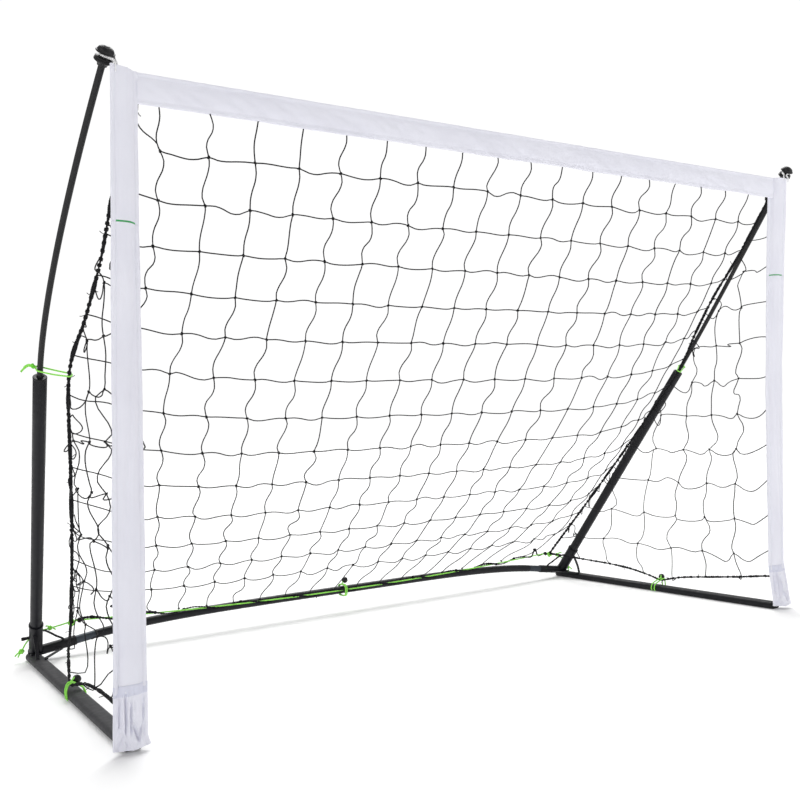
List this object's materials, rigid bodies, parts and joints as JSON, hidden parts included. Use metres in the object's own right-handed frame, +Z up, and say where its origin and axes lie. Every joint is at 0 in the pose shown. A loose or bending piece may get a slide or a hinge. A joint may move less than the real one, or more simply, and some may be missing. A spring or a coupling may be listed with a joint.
{
  "type": "portable football goal",
  "caption": "Portable knock-down football goal: low steel base, leaning uprights, fibreglass bow poles with round caps, white fabric front frame and a knotted net.",
  "frame": {"origin": "on the ground, at the middle of the bounding box", "axes": "+X to the right of someone who looks into the open mouth, +Y from the mouth to the rear, +Z up"},
  "size_m": [1.9594, 1.021, 1.2268],
  "materials": {
    "black_steel": "satin black paint",
    "grey_steel": "matt dark grey paint",
    "ferrule_steel": "dull blue-grey paint, scuffed",
    "fibreglass": "pultruded glass fibre with a satin surface",
    "black_plastic": "moulded, satin",
    "black_rubber": "matt",
    "white_cloth": "coated woven polyester, faint sheen",
    "white_webbing": "woven webbing",
    "black_twine": "braided polyethylene twine",
    "green_elastic": "braided elastic cord",
    "black_elastic": "braided elastic cord"
  },
  "bodies": {
    "goal": {"left_side_tube": "grey_steel", "left_front_plug": "black_rubber", "left_corner_socket": "black_steel", "left_corner_brace": "black_steel", "left_stub_ferrule": "ferrule_steel", "left_post_sleeve": "white_cloth", "left_header_panel": "white_cloth", "left_foot_pocket": "white_cloth", "left_corner_loop": "white_webbing", "left_side_net": "black_twine", "left_seam_rope": "black_twine", "left_side_rope": "black_twine", "left_pole_tie": "green_elastic", "left_corner_tie": "green_elastic", "left_corner_cord": "black_elastic", "left_side_tie": "green_elastic", "left_side_tie_ball": "black_plastic", "right_side_tube": "grey_steel", "right_front_plug": "black_rubber", "right_corner_socket": "black_steel", "right_corner_brace": "black_steel", "right_stub_ferrule": "ferrule_steel", "right_post_sleeve": "white_cloth", "right_header_panel": "white_cloth", "right_foot_pocket": "white_cloth", "right_corner_loop": "white_webbing", "right_side_net": "black_twine", "right_seam_rope": "black_twine", "right_side_rope": "black_twine", "right_pole_tie": "green_elastic", "right_corner_tie": "green_elastic", "right_corner_cord": "black_elastic", "right_side_tie": "green_elastic", "right_side_tie_ball": "black_plastic", "rear_bar_left_half": "black_steel", "rear_bar_right_half": "black_steel", "rear_bar_middle_ferrule": "ferrule_steel", "rear_bar_shock_cord": "black_elastic", "crossbar_sleeve": "white_cloth", "back_net": "black_twine", "rear_rope": "black_twine", "rear_elastic": "green_elastic", "rear_tie": "green_elastic", "rear_tie_ball": "black_plastic"},
    "left_upright": {"left_upright_tube": "black_steel", "left_upright_foot_plug": "black_plastic", "left_upright_bush": "black_plastic", "left_pole_seat": "black_plastic"},
    "left_bow": {"left_bow_pole": "fibreglass", "left_cap_base": "black_plastic", "left_cap_dome": "black_plastic"},
    "left_peg": {"left_stop_peg": "black_rubber"},
    "right_upright": {"right_upright_tube": "black_steel", "right_upright_foot_plug": "black_plastic", "right_upright_bush": "black_plastic", "right_pole_seat": "black_plastic"},
    "right_bow": {"right_bow_pole": "fibreglass", "right_cap_base": "black_plastic", "right_cap_dome": "black_plastic"},
    "right_peg": {"right_stop_peg": "black_rubber"}
  },
  "joints": [
    {"name": "left_upright_lift", "type": "slide", "parent": "goal", "child": "left_upright", "axis": [-0.0822, -0.6157, 0.7837], "range_m": [0, 0.08], "deforming": ["left_pole_tie"]},
    {"name": "left_pole_pull", "type": "slide", "parent": "left_upright", "child": "left_bow", "axis": [-0.0822, -0.6157, 0.7837], "range_m": [0, 0.14], "deforming": ["left_corner_loop"]},
    {"name": "left_peg_pull", "type": "slide", "parent": "goal", "child": "left_peg", "axis": [-0.9966, 0.0508, -0.0646], "range_m": [0, 0.012]},
    {"name": "right_upright_lift", "type": "slide", "parent": "goal", "child": "right_upright", "axis": [0.0822, -0.6157, 0.7837], "range_m": [0, 0.08], "deforming": ["right_pole_tie"]},
    {"name": "right_pole_pull", "type": "slide", "parent": "right_upright", "child": "right_bow", "axis": [0.0822, -0.6157, 0.7837], "range_m": [0, 0.14], "deforming": ["right_corner_loop"]},
    {"name": "right_peg_pull", "type": "slide", "parent": "goal", "child": "right_peg", "axis": [0.9966, 0.0508, -0.0646], "range_m": [0, 0.012]}
  ]
}
